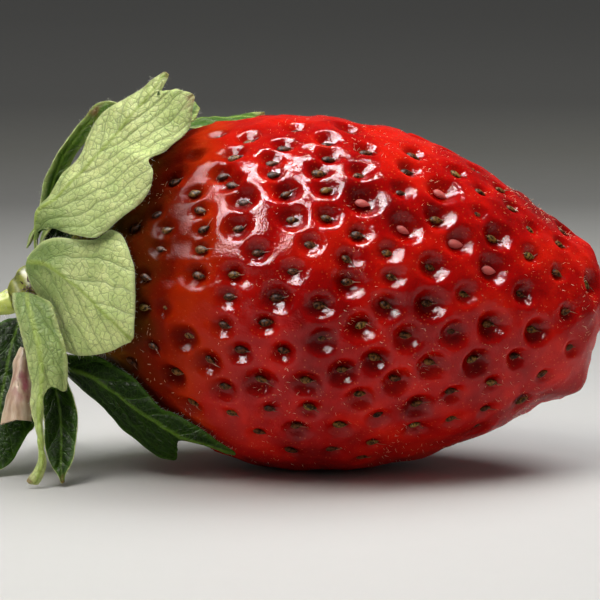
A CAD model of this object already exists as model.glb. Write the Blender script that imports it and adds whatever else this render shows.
"""A ripe strawberry lying on its side, as picked, in full detail: the pitted red skin
with its seeds, the leafy cap with its veins and hairs, the dried petal and the stalk.

Laid out as an add-on and run as a script. Lengths in the tables are millimetres, and the
frame's own boxes set the sizes. +X runs towards the fruit's tip and +Z is up.
"""

import math

import bmesh
import bpy
import numpy as np
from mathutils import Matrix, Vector


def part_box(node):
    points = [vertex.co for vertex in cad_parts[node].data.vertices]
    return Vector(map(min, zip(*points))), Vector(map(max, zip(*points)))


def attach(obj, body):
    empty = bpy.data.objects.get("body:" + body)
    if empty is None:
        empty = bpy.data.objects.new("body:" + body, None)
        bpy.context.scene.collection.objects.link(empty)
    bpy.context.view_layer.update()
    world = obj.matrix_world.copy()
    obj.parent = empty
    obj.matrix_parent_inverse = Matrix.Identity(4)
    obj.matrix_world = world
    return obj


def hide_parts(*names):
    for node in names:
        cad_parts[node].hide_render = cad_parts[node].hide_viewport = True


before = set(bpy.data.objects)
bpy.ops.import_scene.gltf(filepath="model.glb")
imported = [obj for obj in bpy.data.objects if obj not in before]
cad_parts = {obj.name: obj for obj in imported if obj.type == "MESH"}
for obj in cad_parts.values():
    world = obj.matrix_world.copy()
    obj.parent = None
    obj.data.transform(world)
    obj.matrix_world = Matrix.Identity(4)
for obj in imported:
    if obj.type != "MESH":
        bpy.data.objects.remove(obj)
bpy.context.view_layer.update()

bl_info = {
    "name": "Strawberry",
    "version": (1, 0, 0),
    "blender": (4, 5, 0),
    "location": "3D View > Sidebar > Strawberry",
    "description": "Builds a ripe strawberry's skin, seeds, leaves and stalk on its frame",
    "category": "Object",
}

MM = 0.001
GOLDEN_ANGLE = math.pi * (3 - math.sqrt(5))
FRUIT_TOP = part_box("fruit")[1].z / MM

# The fruit's own line: its stalk end, its length and how full it is along the way.
FRUIT_LENGTH = 54.5
FRUIT_TILT = math.radians(5.0)
STALK_END = np.array((-28.3, 0.0, 20.1))
FULLNESS = (0.56, 0.60, 0.628, 0.655, 0.656, 0.646, 0.63, 0.604, 0.575, 0.562, 0.63)
LOBE_DEPTH = 0.012

# Each leaf is three lines from its foot to its tip: one edge, the midrib, the other edge.
LEAVES = {
    "sepal_upper": (
        (
            (-30.8, -1.8, 21.2), (-30.5, -3.0, 25.0), (-30.1, -3.0, 26.4), (-28.3, -3.5, 29.0),
            (-26.2, -4.0, 31.7), (-24.5, -4.0, 34.9), (-22.4, -4.5, 36.8), (-19.5, -4.8, 38.5),
            (-17.7, -5.0, 39.8),
        ),
        (
            (-30.6, -2.6, 21.5), (-30.2, -3.8, 25.7), (-28.4, -5.0, 27.3), (-25.9, -5.5, 29.8),
            (-23.5, -5.8, 32.5), (-21.1, -5.8, 35.3), (-19.0, -5.5, 37.8), (-17.5, -5.2, 39.8),
        ),
        (
            (-30.4, -3.2, 21.6), (-30.4, -3.5, 23.9), (-29.1, -5.0, 24.5), (-27.1, -7.5, 24.3),
            (-24.6, -9.8, 24.1), (-23.6, -10.3, 24.6), (-21.3, -11.0, 26.7), (-19.7, -11.3, 28.0),
            (-18.8, -11.2, 29.3), (-18.6, -10.8, 30.6), (-19.1, -10.0, 31.8), (-17.9, -9.5, 32.5),
            (-16.6, -9.0, 33.5), (-15.4, -8.5, 34.6), (-14.9, -8.0, 36.1), (-14.7, -7.3, 37.7),
            (-16.0, -6.8, 38.2), (-17.1, -6.3, 38.0), (-18.3, -6.0, 37.6), (-17.7, -5.6, 38.7),
            (-17.3, -5.3, 39.6),
        ),
    ),
    "sepal_front": (
        (
            (-31.4, -3.8, 21.4), (-30.8, -4.5, 22.3), (-29.6, -5.6, 23.3), (-28.0, -7.0, 23.8),
            (-25.9, -8.0, 23.7), (-24.3, -8.7, 23.9), (-23.1, -9.0, 24.8), (-21.9, -10.4, 24.6),
            (-21.2, -11.4, 23.7), (-20.8, -12.0, 22.6), (-20.5, -12.6, 21.4),
            (-20.4, -13.0, 19.7), (-20.4, -13.0, 17.7), (-20.5, -12.6, 15.7),
            (-20.6, -12.2, 14.7),
        ),
        (
            (-31.4, -4.0, 21.0), (-29.8, -6.0, 21.2), (-28.2, -7.8, 20.7), (-25.3, -10.0, 18.7),
            (-22.9, -11.8, 16.7), (-20.7, -12.2, 14.5),
        ),
        (
            (-31.6, -3.8, 20.2), (-30.7, -4.2, 18.3), (-29.3, -4.8, 15.9), (-28.2, -5.8, 13.7),
            (-27.3, -7.0, 12.6), (-25.8, -8.6, 12.4), (-24.2, -10.0, 12.7), (-22.7, -11.0, 13.3),
            (-21.7, -11.6, 13.9), (-20.9, -12.1, 14.3),
        ),
    ),
    "sepal_hanging": (
        (
            (-32.9, -4.0, 17.9), (-32.5, -6.0, 16.2), (-31.8, -7.5, 14.5), (-31.2, -8.6, 12.5),
            (-30.9, -9.8, 9.9), (-30.6, -10.8, 7.5), (-30.2, -11.4, 5.5), (-30.0, -12.0, 3.8),
            (-29.9, -12.2, 2.6), (-30.3, -12.6, 1.6), (-31.0, -13.0, 0.8), (-30.5, -13.0, 0.45),
        ),
        (
            (-31.4, -5.0, 18.0), (-30.6, -8.0, 15.8), (-29.8, -9.8, 13.1), (-29.6, -10.8, 10.4),
            (-29.8, -11.6, 7.5), (-29.7, -12.4, 4.8), (-29.5, -12.8, 2.7), (-30.2, -13.0, 0.4),
        ),
        (
            (-30.3, -5.4, 17.8), (-28.8, -7.3, 17.3), (-28.1, -8.2, 15.3), (-27.5, -9.0, 13.7),
            (-27.2, -9.4, 12.1), (-27.2, -9.6, 10.4), (-27.4, -9.7, 9.1), (-28.4, -10.2, 9.5),
            (-29.3, -10.6, 9.3), (-29.4, -11.2, 7.6), (-29.5, -11.7, 5.8), (-29.5, -12.1, 3.9),
            (-29.1, -12.4, 2.5), (-29.4, -12.8, 1.2), (-29.9, -13.0, 0.45),
        ),
    ),
    "sepal_drooping": (
        (
            (-31.0, -2.6, 15.4), (-30.0, -7.0, 10.2), (-29.7, -8.3, 8.0), (-29.5, -9.8, 5.3),
            (-29.4, -10.5, 3.9), (-28.7, -11.4, 2.2), (-28.2, -12.0, 1.2), (-27.8, -12.3, 0.45),
        ),
        (
            (-30.6, -2.4, 15.4), (-28.9, -6.2, 10.1), (-28.1, -7.9, 7.0), (-27.8, -9.6, 4.3),
            (-27.8, -11.0, 2.1), (-27.6, -12.3, 0.4),
        ),
        (
            (-30.0, -2.2, 15.6), (-28.1, -6.0, 11.1), (-27.2, -7.5, 9.3), (-26.4, -8.8, 7.4),
            (-26.3, -9.8, 5.6), (-26.4, -10.8, 3.6), (-26.7, -11.5, 2.1), (-27.2, -12.0, 1.2),
            (-27.4, -12.3, 0.5),
        ),
    ),
    "sepal_turned_back": (
        (
            (-33.0, -0.8, 14.9), (-34.5, -1.5, 14.5), (-37.2, -2.8, 13.0), (-39.2, -4.0, 10.4),
            (-39.5, -5.0, 7.4), (-38.5, -6.0, 4.2), (-37.0, -6.8, 1.8), (-35.9, -7.2, 0.6),
        ),
        (
            (-32.4, -1.2, 15.0), (-33.2, -2.6, 12.5), (-33.8, -3.7, 9.5), (-34.3, -4.8, 6.5),
            (-34.8, -6.0, 3.5), (-35.6, -7.2, 0.5),
        ),
        (
            (-31.8, -1.6, 15.0), (-31.4, -3.6, 12.2), (-30.8, -4.8, 8.4), (-30.7, -5.6, 6.0),
            (-30.8, -6.0, 4.8), (-31.4, -6.2, 4.1), (-32.3, -6.5, 2.7), (-32.9, -6.7, 1.6),
            (-33.9, -6.9, 0.8), (-35.3, -7.2, 0.45),
        ),
    ),
    "sepal_under_front": (
        (
            (-28.8, -2.0, 13.2), (-27.4, -5.5, 12.1), (-24.5, -7.0, 12.1), (-22.0, -8.8, 11.1),
            (-20.3, -9.6, 9.9), (-18.1, -9.8, 7.4), (-17.0, -9.8, 7.0), (-15.3, -10.1, 6.1),
            (-13.6, -9.9, 4.9), (-12.3, -9.4, 3.9), (-10.9, -9.1, 2.9),
        ),
        (
            (-29.0, -1.8, 12.8), (-28.0, -4.4, 11.0), (-24.6, -7.0, 9.9), (-21.6, -8.6, 8.0),
            (-19.1, -9.4, 6.4), (-16.7, -9.6, 4.9), (-13.8, -9.5, 3.7), (-10.8, -9.1, 2.7),
        ),
        (
            (-29.2, -1.5, 12.4), (-27.5, -4.3, 9.7), (-25.2, -5.5, 8.1), (-23.9, -6.0, 7.0),
            (-22.3, -6.3, 5.0), (-20.8, -6.5, 3.7), (-19.2, -6.6, 2.5), (-17.7, -6.6, 1.7),
            (-16.8, -6.8, 1.6), (-16.6, -7.8, 2.7), (-16.8, -8.8, 4.0), (-15.7, -9.2, 4.3),
            (-14.4, -9.3, 3.9), (-12.8, -9.2, 3.1), (-11.0, -9.0, 2.5),
        ),
    ),
    "sepal_over_top": (
        (
            (-30.2, 2.5, 21), (-28.0, 5.0, 24.9), (-24.0, 7.5, 28.7), (-19.0, 9.0, 31.4),
            (-14.5, 9.0, 33.2), (-10.5, 7.5, 34.5), (-8.1, 6.2, 35),
        ),
        (
            (-30.5, 1.6, 21.7), (-28.5, 2.5, 26), (-24.0, 3.5, 30.4), (-19.0, 4.0, 33),
            (-14.5, 4.5, 34.2), (-10.5, 5.2, 34.4), (-8.0, 6.0, 34.1),
        ),
        (
            (-30.6, 0.8, 22), (-28.2, 0.6, 26.8), (-24.0, 0.8, 31.2), (-19.0, 1.2, 34),
            (-14.5, 1.6, 33.8), (-10.5, 3.2, 34.2), (-8.1, 5.8, 34.3),
        ),
    ),
    "bract_upper": (
        (
            (-30.4, -0.3, 22.4), (-28.0, 0.2, 28.0), (-23.2, 0.0, 32.7), (-18.8, 0.0, 35.0),
            (-16.0, -0.2, 36.2), (-14.8, -0.8, 36.5),
        ),
        (
            (-30.3, -0.7, 22.5), (-27.6, -1.0, 27.7), (-23.0, -1.5, 32.1), (-19.0, -1.8, 34.3),
            (-14.7, -1.0, 36.3),
        ),
        (
            (-30.2, -1.1, 22.4), (-27.2, -2.2, 26.9), (-22.5, -3.0, 31.0), (-18.0, -3.2, 33.6),
            (-15.2, -2.6, 34.8), (-14.4, -1.3, 36.0),
        ),
    ),
    "bract_upright": (
        (
            (-31.7, -0.8, 22.0), (-30.6, -1.0, 24.4), (-30.3, -0.5, 26.4), (-29.7, 0.0, 29.1),
            (-28.4, 0.3, 31.6), (-26.8, 0.5, 33.7), (-25.4, 0.6, 35.6), (-24.7, 0.4, 36.3),
            (-23.7, 0.2, 36.6), (-22.8, -0.3, 36.5),
        ),
        (
            (-31.6, -0.1, 22.2), (-29.9, 0.4, 25.8), (-28.4, 0.8, 30.2), (-25.8, 0.9, 34.0),
            (-22.6, -0.3, 36.3),
        ),
        (
            (-31.5, 0.6, 22.2), (-29.5, 1.3, 25.6), (-27.4, 1.4, 30.2), (-24.8, 1.2, 33.9),
            (-23.0, 0.3, 35.6), (-22.5, -0.2, 36.0),
        ),
    ),
    "sepal_back": (
        (
            (-31.0, 3.6, 21.0), (-28.5, 6.4, 24.0), (-24.5, 9.8, 24.9), (-20.5, 12.4, 23.6),
            (-17.8, 14.6, 20.5), (-17.0, 15.2, 18.8),
        ),
        (
            (-31.2, 3.8, 20.2), (-28.0, 7.2, 20.8), (-24.0, 10.6, 20.6), (-20.0, 13.2, 19.6),
            (-17.0, 15.2, 18.5),
        ),
        (
            (-31.2, 3.8, 19.2), (-28.5, 6.8, 17.0), (-24.5, 10.2, 15.2), (-20.5, 12.8, 15.4),
            (-18.3, 14.4, 17.0), (-17.1, 15.1, 18.2),
        ),
    ),
    "sepal_back_hanging": (
        (
            (-31.6, 2.0, 15.0), (-32.0, 5.0, 11.5), (-31.2, 8.0, 7.5), (-30.4, 10.5, 3.2),
            (-29.4, 12.0, 0.7),
        ),
        (
            (-31.0, 2.5, 15.0), (-30.4, 5.0, 11.2), (-29.8, 7.4, 6.8), (-29.4, 10.0, 3.0),
            (-29.2, 12.1, 0.6),
        ),
        (
            (-30.4, 3.0, 15.2), (-29.2, 5.4, 12.0), (-28.6, 7.6, 7.5), (-28.6, 10.0, 3.6),
            (-28.9, 12.0, 0.7),
        ),
    ),
    "sepal_under_back": (
        (
            (-28.9, 2.2, 13.6), (-25.6, 7.0, 13.0), (-21.0, 10.6, 10.8), (-16.6, 12.0, 8.2),
            (-12.7, 10.9, 4.8),
        ),
        (
            (-29.0, 1.6, 13.2), (-26.0, 5.0, 11.4), (-21.5, 8.0, 8.2), (-17.0, 9.8, 5.8),
            (-12.5, 10.6, 4.5),
        ),
        (
            (-29.1, 0.9, 12.9), (-26.6, 2.6, 10.8), (-22.2, 4.4, 7.0), (-17.5, 6.4, 4.6),
            (-12.7, 10.3, 4.3),
        ),
    ),
    "dried_petal": (
        (
            (-32.0, -5.1, 12.7), (-32.7, -5.5, 11.2), (-33.0, -5.9, 9.2), (-33.5, -6.1, 7.2),
            (-34.0, -6.3, 5.1),
        ),
        (
            (-31.8, -5.7, 12.7), (-32.0, -6.8, 11.2), (-32.2, -7.4, 9.3), (-32.4, -7.8, 7.4),
            (-32.5, -8.0, 5.9),
        ),
        (
            (-31.6, -5.3, 12.5), (-31.2, -5.9, 11.0), (-31.0, -6.4, 9.1), (-30.9, -6.8, 7.2),
            (-30.9, -7.0, 5.6),
        ),
    ),
}

# The seeds on the fruit's front, by how deep the pit round each is. Each is the (x, z) where
# it is seen, on the plane through the view's target that faces the camera.
FRONT_SEEDS = {
    "pale": ((1.9, 26.8), (11.5, 22.5), (6.0, 24.0), (14.7, 19.8), (10.0, 27.8)),
    "deep": (
        (-10.3, 26.9), (-10.8, 24.1), (-5.4, 25.1), (0.5, 18.4), (8.9, 20.0), (9.6, 25.1),
        (15.2, 23.1), (8.5, 16.3), (-2.1, 12.5), (6.4, 12.8), (3.3, 10.6), (-0.1, 9.3),
        (8.9, 10.0), (5.4, 8.3), (19.3, 13.5), (13.3, 10.3), (-16.1, 12.8), (-13.8, 10.3),
        (-17.2, 9.0), (1.8, 13.9), (-5.8, 27.8), (24.9, 18.4), (14.9, 14.0), (1.6, 6.7),
        (7.4, 5.8),
        (-3.9, 8.1), (-8.4, 8.3), (-12.1, 7.5), (-6.9, 16.8), (4.4, 16.0), (11.0, 13.4),
    ),
    "middling": (
        (-12.4, 29.6), (-11.3, 31.4), (-9.8, 33.1), (-7.5, 30.8), (-7.2, 29.6), (-6.2, 32.3),
        (-11.4, 28.5), (-8.8, 21.6), (-5.0, 34.2), (-1.9, 32.8), (-1.6, 31.3), (-2.5, 29.8),
        (-1.9, 28.1), (2.3, 32.0), (1.6, 29.6), (6.5, 30.0), (6.9, 31.6), (5.7, 27.7), (-1.6, 25.2),
        (-3.4, 22.3), (1.4, 23.4), (4.6, 21.4), (0.3, 20.8), (4.7, 18.9), (-5.2, 19.6),
        (-2.5, 16.0), (-14.9, 19.2), (-11.1, 19.3), (-11.7, 16.9), (-7.9, 14.2), (-12.2, 14.0),
        (-10.4, 11.4), (-6.3, 11.4), (12.1, 17.3), (17.9, 17.3), (17.4, 10.8),
        (-3.4, 5.5), (3.3, 4.8), (10.9, 7.2), (7.2, 3.6), (-0.6, 3.7), (-4.9, 3.5), (-15.6, 6.0),
        (0.2, 33.9),
    ),
    "shallow": (
        (-14.9, 30.9), (-17.1, 28.7), (-15.3, 27.6), (-18.9, 25.4), (-14.7, 25.8), (-17.9, 23.7),
        (-14.2, 23.9), (-18.5, 21.8), (-14.6, 21.8), (-20.1, 18.9), (-17.9, 15.8), (-19.3, 11.9),
        (-12.9, 33.1), (21.7, 22.4), (18.6, 23.8), (18.6, 21.2), (16.9, 26.0), (13.4, 25.3),
        (15.8, 27.9), (13.6, 27.7), (12.9, 29.8), (11.3, 29.5), (22.3, 15.5), (22.6, 11.8), (20.0, 9.1),
        (17.8, 6.4), (14.1, 5.6), (10.8, 4.6), (21.4, 19.4), (13.1, 4.0), (22.2, 7.7), (24.3, 9.8),
        (14.8, 8.2), (24.9, 21.1), (-7.6, 5.6), (-11.2, 5.1), (-8.7, 3.3), (-5.4, 1.4), (-1.4, 1.5),
        (2.7, 2.2), (1.7, 0.7), (10.4, 31.6),
    ),
}
# The depth of each kind of pit, as a share of the deepest, and how far it reaches in millimetres.
PIT_SHAPES = {"pale": (1.0, 1.45), "deep": (1.0, 1.30), "middling": (0.80, 1.06), "shallow": (0.45, 0.84)}
PIT_STRETCH = 1.08  # a pit's length over its width
PIT_SPAN = 3.6  # how far from its seed a pit is worked out
SUNK_MOST = 1.25  # how deep overlapping pits may get together, over the deepest alone
# Seeds: how far their middles stand over the pits' floors, the height under which the fruit
# rests on its skin alone, and the share of seeds that kept their styles.
SEED_RISE = 0.13
LOWEST_SEED = 0.6
STYLES_LEFT = 0.7
# Spiral seeds keep this far from the front's, and left of this x the leaves cover them.
SEED_GAP = 2.5
COVERED_X = -20.0
# Fruit hairs: how many, how far under the skin they root, and the lowest root.
HAIR_COUNT = 5200
HAIR_ROOT = 0.1
LOWEST_HAIR = 1.2
# Where the skin swells out or folds in: the place, the height and the size.
SKIN_SWELLS = (
    ((-15.5, 1.0, 32.5), 0.9, 5.0),
    ((22.8, -3.0, 9.0), 0.95, 2.3),
    ((20.2, -4.0, 6.0), -0.6, 1.5),
    ((25.3, -2.0, 12.4), -0.8, 1.2),
    ((22.4, -2.0, 24.2), -0.8, 1.5),
    ((24.2, -1.0, 21.5), 0.4, 2.0),
)

# How each leaf is grown on its lines. "outer" is +1 where the underside faces the way the
# lines turn, "rows" counts its cells from foot to tip and "tone" is 1 on the lightest leaf.
# "wave" is the height of the margin's folds and "vein" the distance between side veins.
# "faces" names the finish of the underside and of the upper face, pale and dark if unsaid.
LEAF_TRAITS = {
    "sepal_upper": {"outer": 1, "rows": 170, "tone": 0.75, "wave": 0.16, "vein": 3.0},
    "sepal_front": {"outer": 1, "rows": 150, "tone": 0.80, "wave": 0.12, "vein": 4.2},
    "sepal_hanging": {"outer": -1, "rows": 130, "tone": 0.45, "wave": 0.14, "vein": 3.2},
    "sepal_drooping": {"outer": 1, "rows": 90, "tone": 0.30, "wave": 0.15, "vein": 3.4},
    "sepal_turned_back": {"outer": 1, "rows": 110, "tone": 0.35, "wave": 0.20, "vein": 3.6},
    "sepal_under_front": {
        "outer": 1, "rows": 120, "tone": 0.22, "wave": 0.10, "vein": 3.2, "faces": ("dark", "dark"),
    },
    "sepal_over_top": {
        "outer": 1, "rows": 100, "tone": 0.25, "wave": 0.06, "vein": 3.6, "faces": ("fresh", "dark"),
    },
    "bract_upper": {
        "outer": 1, "rows": 90, "tone": 0.30, "wave": 0.08, "vein": 3.0, "faces": ("fresh", "dark"),
    },
    "bract_upright": {
        "outer": -1, "rows": 100, "tone": 0.70, "wave": 0.10, "vein": 3.0, "faces": ("pale", "fresh"),
    },
    "sepal_back": {"outer": -1, "rows": 100, "tone": 0.65, "wave": 0.15, "vein": 3.6},
    "sepal_back_hanging": {"outer": 1, "rows": 90, "tone": 0.45, "wave": 0.15, "vein": 3.4},
    "sepal_under_back": {"outer": -1, "rows": 100, "tone": 0.40, "wave": 0.10, "vein": 3.4},
}
PETAL_TRAITS = {"outer": 1, "rows": 60, "tone": 0.5, "wave": 0.05, "vein": 3.0}
BLUSH_SPOT, BLUSH_SIZE = (-31.2, -7.2, 9.4), 1.6
# Where a leaf has dried to brown: the place, the size and the strength.
BROWN_SPOTS = (
    ("sepal_upper", (-14.7, -7.4, 37.2), 0.8, 1.0),
    ("sepal_upper", (-17.5, -5.2, 39.9), 0.35, 0.8),
    ("sepal_upper", (-20.0, -11.2, 28.0), 0.35, 0.7),
    ("sepal_front", (-20.6, -12.3, 14.4), 0.45, 0.8),
    ("sepal_hanging", (-31.0, -13.0, 0.8), 0.7, 0.8),
    ("sepal_drooping", (-27.6, -12.3, 0.4), 0.5, 0.7),
    ("sepal_over_top", (-8.1, 6.0, 34.6), 0.6, 0.9),
    ("bract_upright", (-24.9, 0.5, 35.6), 0.6, 0.9),
)
STALK_LINE = ((-33.3, 0.0, 16.6), (-36.5, 0.1, 15.6), (-41.5, 0.6, 14.2), (-47.5, 1.6, 13.2))
STALK_RADIUS = 1.08
CUP_LINE = ((-33.0, 0.0, 16.8), (-30.0, 0.0, 19.0))
CUP_HOLLOW = (-31.3, -2.2, 18.0)  # where the front leaves part
LEAF_HALF = 14  # cells from the midrib to each margin
LEAF_THICK, LEAF_RIM = 0.33, 0.13  # thickness in the blade and at the margin
BOW_SHARE = 0.45  # how much of the way from a folded blade to a smoothly bowed one
VEIN_SLOPE = 1.7  # how far along the leaf a side vein runs for each millimetre across

# Where the camera stands: what it looks at, how far off, how high, and the width it takes in.
VIEW_TARGET = np.array((-4.5, 0.0, 16.67))
VIEW_DISTANCE = 350.0
VIEW_ELEVATION = 8.0
VIEW_WIDTH = 60.0

# The stage: what the lights look at, in metres, and the board's radius.
STAGE_MIDDLE = (-0.004, 0.0, 0.017)
BOARD_RADIUS = 4.0
OVERHEAD_SHARE, SIDE_SHARE = 2.1, 1.5  # each panel's power over the panel setting


# ---------------------------------------------------------------- materials


def linear(code):
    """The opaque linear colour of an sRGB hex code such as "c4120c"."""
    parts = [int(code[i : i + 2], 16) / 255 for i in (0, 2, 4)]
    return [p / 12.92 if p <= 0.04045 else ((p + 0.055) / 1.055) ** 2.4 for p in parts] + [1.0]


def add(tree, kind, output, inputs=None, stops=None, **settings):
    """Adds a shader node with its settings and gives back one of its outputs. Each input
    is a value, or another node's output."""
    node = tree.nodes.new("ShaderNode" + kind)
    for name, value in settings.items():
        setattr(node, name, value)
    for name, value in (inputs or {}).items():
        if isinstance(value, bpy.types.NodeSocket):
            tree.links.new(value, node.inputs[name])
        else:
            node.inputs[name].default_value = value
    if stops:
        ramp = node.color_ramp
        while len(ramp.elements) < len(stops):
            ramp.elements.new(0.5)
        for element, (place, code) in zip(ramp.elements, stops):
            element.position = place
            element.color = linear(code)
    return node.outputs[output]


def new_material(name, **shader_inputs):
    """A material with one Principled shader, and its tree. Constant values sit on its sockets."""
    material = bpy.data.materials.new(name)
    material.use_nodes = True
    tree = material.node_tree
    shader = tree.nodes["Principled BSDF"]
    for socket, value in shader_inputs.items():
        shader.inputs[socket.replace("_", " ")].default_value = value
    return material, tree, shader


def skin_material():
    """Ripe strawberry skin: a thin wax over wet red flesh. It gives the eye a sharp, wet
    highlight on each cushion, a deep red that light goes into, and a paler neck where
    the leaves kept the sun off."""
    material, tree, shader = new_material(
        "strawberry_skin_waxed",
        Roughness=0.30,
        IOR=1.45,
        Subsurface_Weight=0.30,
        Subsurface_Radius=(1.0, 0.10, 0.04),
        Subsurface_Scale=1.2 * MM,
        Specular_IOR_Level=0.0,
        Coat_Roughness=0.06,
        Coat_IOR=1.45,
    )
    place = add(tree, "TexCoord", "Object")
    # Colour changes in patches about 6 mm across.
    patches = add(
        tree, "TexNoise", "Fac", {"Vector": place, "Scale": 170.0, "Detail": 3.0, "Roughness": 0.55}
    )
    neck = add(tree, "Attribute", "Fac", attribute_name="neck")
    pit = add(tree, "Attribute", "Fac", attribute_name="pit")
    # The neck's colours run about 20 mm down the fruit, with an edge that follows the patches.
    shift = add(tree, "Math", 0, {0: patches, 1: 8.0, 2: neck}, operation="MULTIPLY_ADD")
    share = add(tree, "MapRange", "Result", {"Value": shift, "From Min": 4.0, "From Max": 26.0})
    ripening = add(
        tree, "ValToRGB", "Color",
        {"Fac": share},
        stops=[
            (0.0, "8f8c3c"), (0.22, "5c4410"), (0.36, "562006"), (0.50, "701404"), (0.63, "b02805"),
            (0.76, "ac1003"),
        ],
    )
    flesh = add(
        tree, "ValToRGB", "Color",
        {"Fac": patches},
        stops=[(0.34, "800202"), (0.5, "aa0402"), (0.64, "cc1606")],
    )
    body = add(tree, "MapRange", "Result", {"Value": share, "From Min": 0.70, "From Max": 0.95})
    colour = add(tree, "Mix", 2, {"Factor": body, 6: ripening, 7: flesh}, data_type="RGBA")
    # The pits are darker and deeper red than the cushions between them.
    deep = add(tree, "Mix", 2, {"Factor": pit, 6: linear("ffffff"), 7: linear("b87c7c")}, data_type="RGBA")
    colour = add(
        tree, "Mix", 2, {"Factor": 1.0, 6: colour, 7: deep}, data_type="RGBA", blend_type="MULTIPLY"
    )
    # Skin cells are 0.05 mm across, drawn here at 0.2 mm so that their grain shows.
    cells = add(tree, "TexVoronoi", "Distance", {"Vector": place, "Scale": 5200.0}, feature="F1")
    # Golden dots about 0.12 mm across stand in the skin, one in each 0.45 mm.
    dots = add(tree, "TexVoronoi", "Distance", {"Vector": place, "Scale": 2200.0}, feature="F1")
    gold = add(
        tree, "MapRange", "Result",
        {"Value": dots, "From Min": 0.08, "From Max": 0.22, "To Min": 1.0, "To Max": 0.0},
    )
    glint = add(
        tree, "MapRange", "Result",
        {"Value": neck, "From Min": 10.0, "From Max": 20.0, "To Min": 0.05, "To Max": 0.34},
    )
    colour = add(
        tree, "Mix", 2,
        {
            "Factor": add(tree, "Math", 0, {0: gold, 1: glint}, operation="MULTIPLY"), 6: colour,
            7: linear("f47a44"),
        },
        data_type="RGBA",
    )
    tree.links.new(colour, shader.inputs["Base Color"])
    wax = add(
        tree, "MapRange", "Result",
        {"Value": neck, "From Min": 12.0, "From Max": 18.5, "To Min": 0.05, "To Max": 0.48},
    )
    tree.links.new(wax, shader.inputs["Coat Weight"])
    fine = add(tree, "Bump", "Normal", {"Height": cells, "Strength": 0.35, "Distance": 0.06 * MM})
    soft = add(
        tree, "Bump", "Normal",
        {
            "Height": add(tree, "TexNoise", "Fac", {"Vector": place, "Scale": 900.0, "Detail": 3.0}),
            "Strength": 0.55, "Distance": 0.20 * MM, "Normal": fine,
        },
    )
    tree.links.new(soft, shader.inputs["Normal"])
    tree.links.new(soft, shader.inputs["Coat Normal"])
    return material


def seed_material():
    """Strawberry achene: a small hard nut, dry and polished by its own wax. It gives the
    eye a brown-olive grain with one small highlight; a few are still pale."""
    material, tree, shader = new_material(
        "strawberry_seed_hard", Roughness=0.42, IOR=1.5, Specular_IOR_Level=0.10
    )
    place = add(tree, "TexCoord", "Object")
    tone = add(tree, "Attribute", "Fac", attribute_name="tone")
    base = add(
        tree, "ValToRGB", "Color",
        {"Fac": tone},
        stops=[(0.0, "542a14"), (0.35, "744422"), (0.65, "8a622c"), (0.88, "9a7c38"), (0.95, "c8605a")],
    )
    # Wrinkles about 0.2 mm apart.
    wrinkles = add(tree, "TexNoise", "Fac", {"Vector": place, "Scale": 4200.0, "Detail": 2.0})
    shade = add(tree, "ValToRGB", "Color", {"Fac": wrinkles}, stops=[(0.40, "4c4440"), (0.60, "ffffff")])
    # The pale, unripe ones are smooth.
    ripe = add(
        tree, "MapRange", "Result",
        {"Value": tone, "From Min": 0.90, "From Max": 0.95, "To Min": 1.0, "To Max": 0.0},
    )
    colour = add(
        tree, "Mix", 2, {"Factor": ripe, 6: base, 7: shade}, data_type="RGBA", blend_type="MULTIPLY"
    )
    tree.links.new(colour, shader.inputs["Base Color"])
    bump = add(tree, "Bump", "Normal", {"Height": wrinkles, "Strength": 0.6, "Distance": 0.10 * MM})
    tree.links.new(bump, shader.inputs["Normal"])
    return material


def thread_material(name, dark, pale, roughness=0.55):
    """Dried style or plant hair: a fine dry thread, with its colour uneven along its length."""
    material, tree, shader = new_material(name, Roughness=roughness, IOR=1.5)
    place = add(tree, "TexCoord", "Object")
    # Changes every 0.8 mm, about one style's length.
    noise = add(tree, "TexNoise", "Fac", {"Vector": place, "Scale": 1200.0, "Detail": 1.0})
    colour = add(tree, "ValToRGB", "Color", {"Fac": noise}, stops=[(0.35, dark), (0.65, pale)])
    tree.links.new(colour, shader.inputs["Base Color"])
    return material


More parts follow.
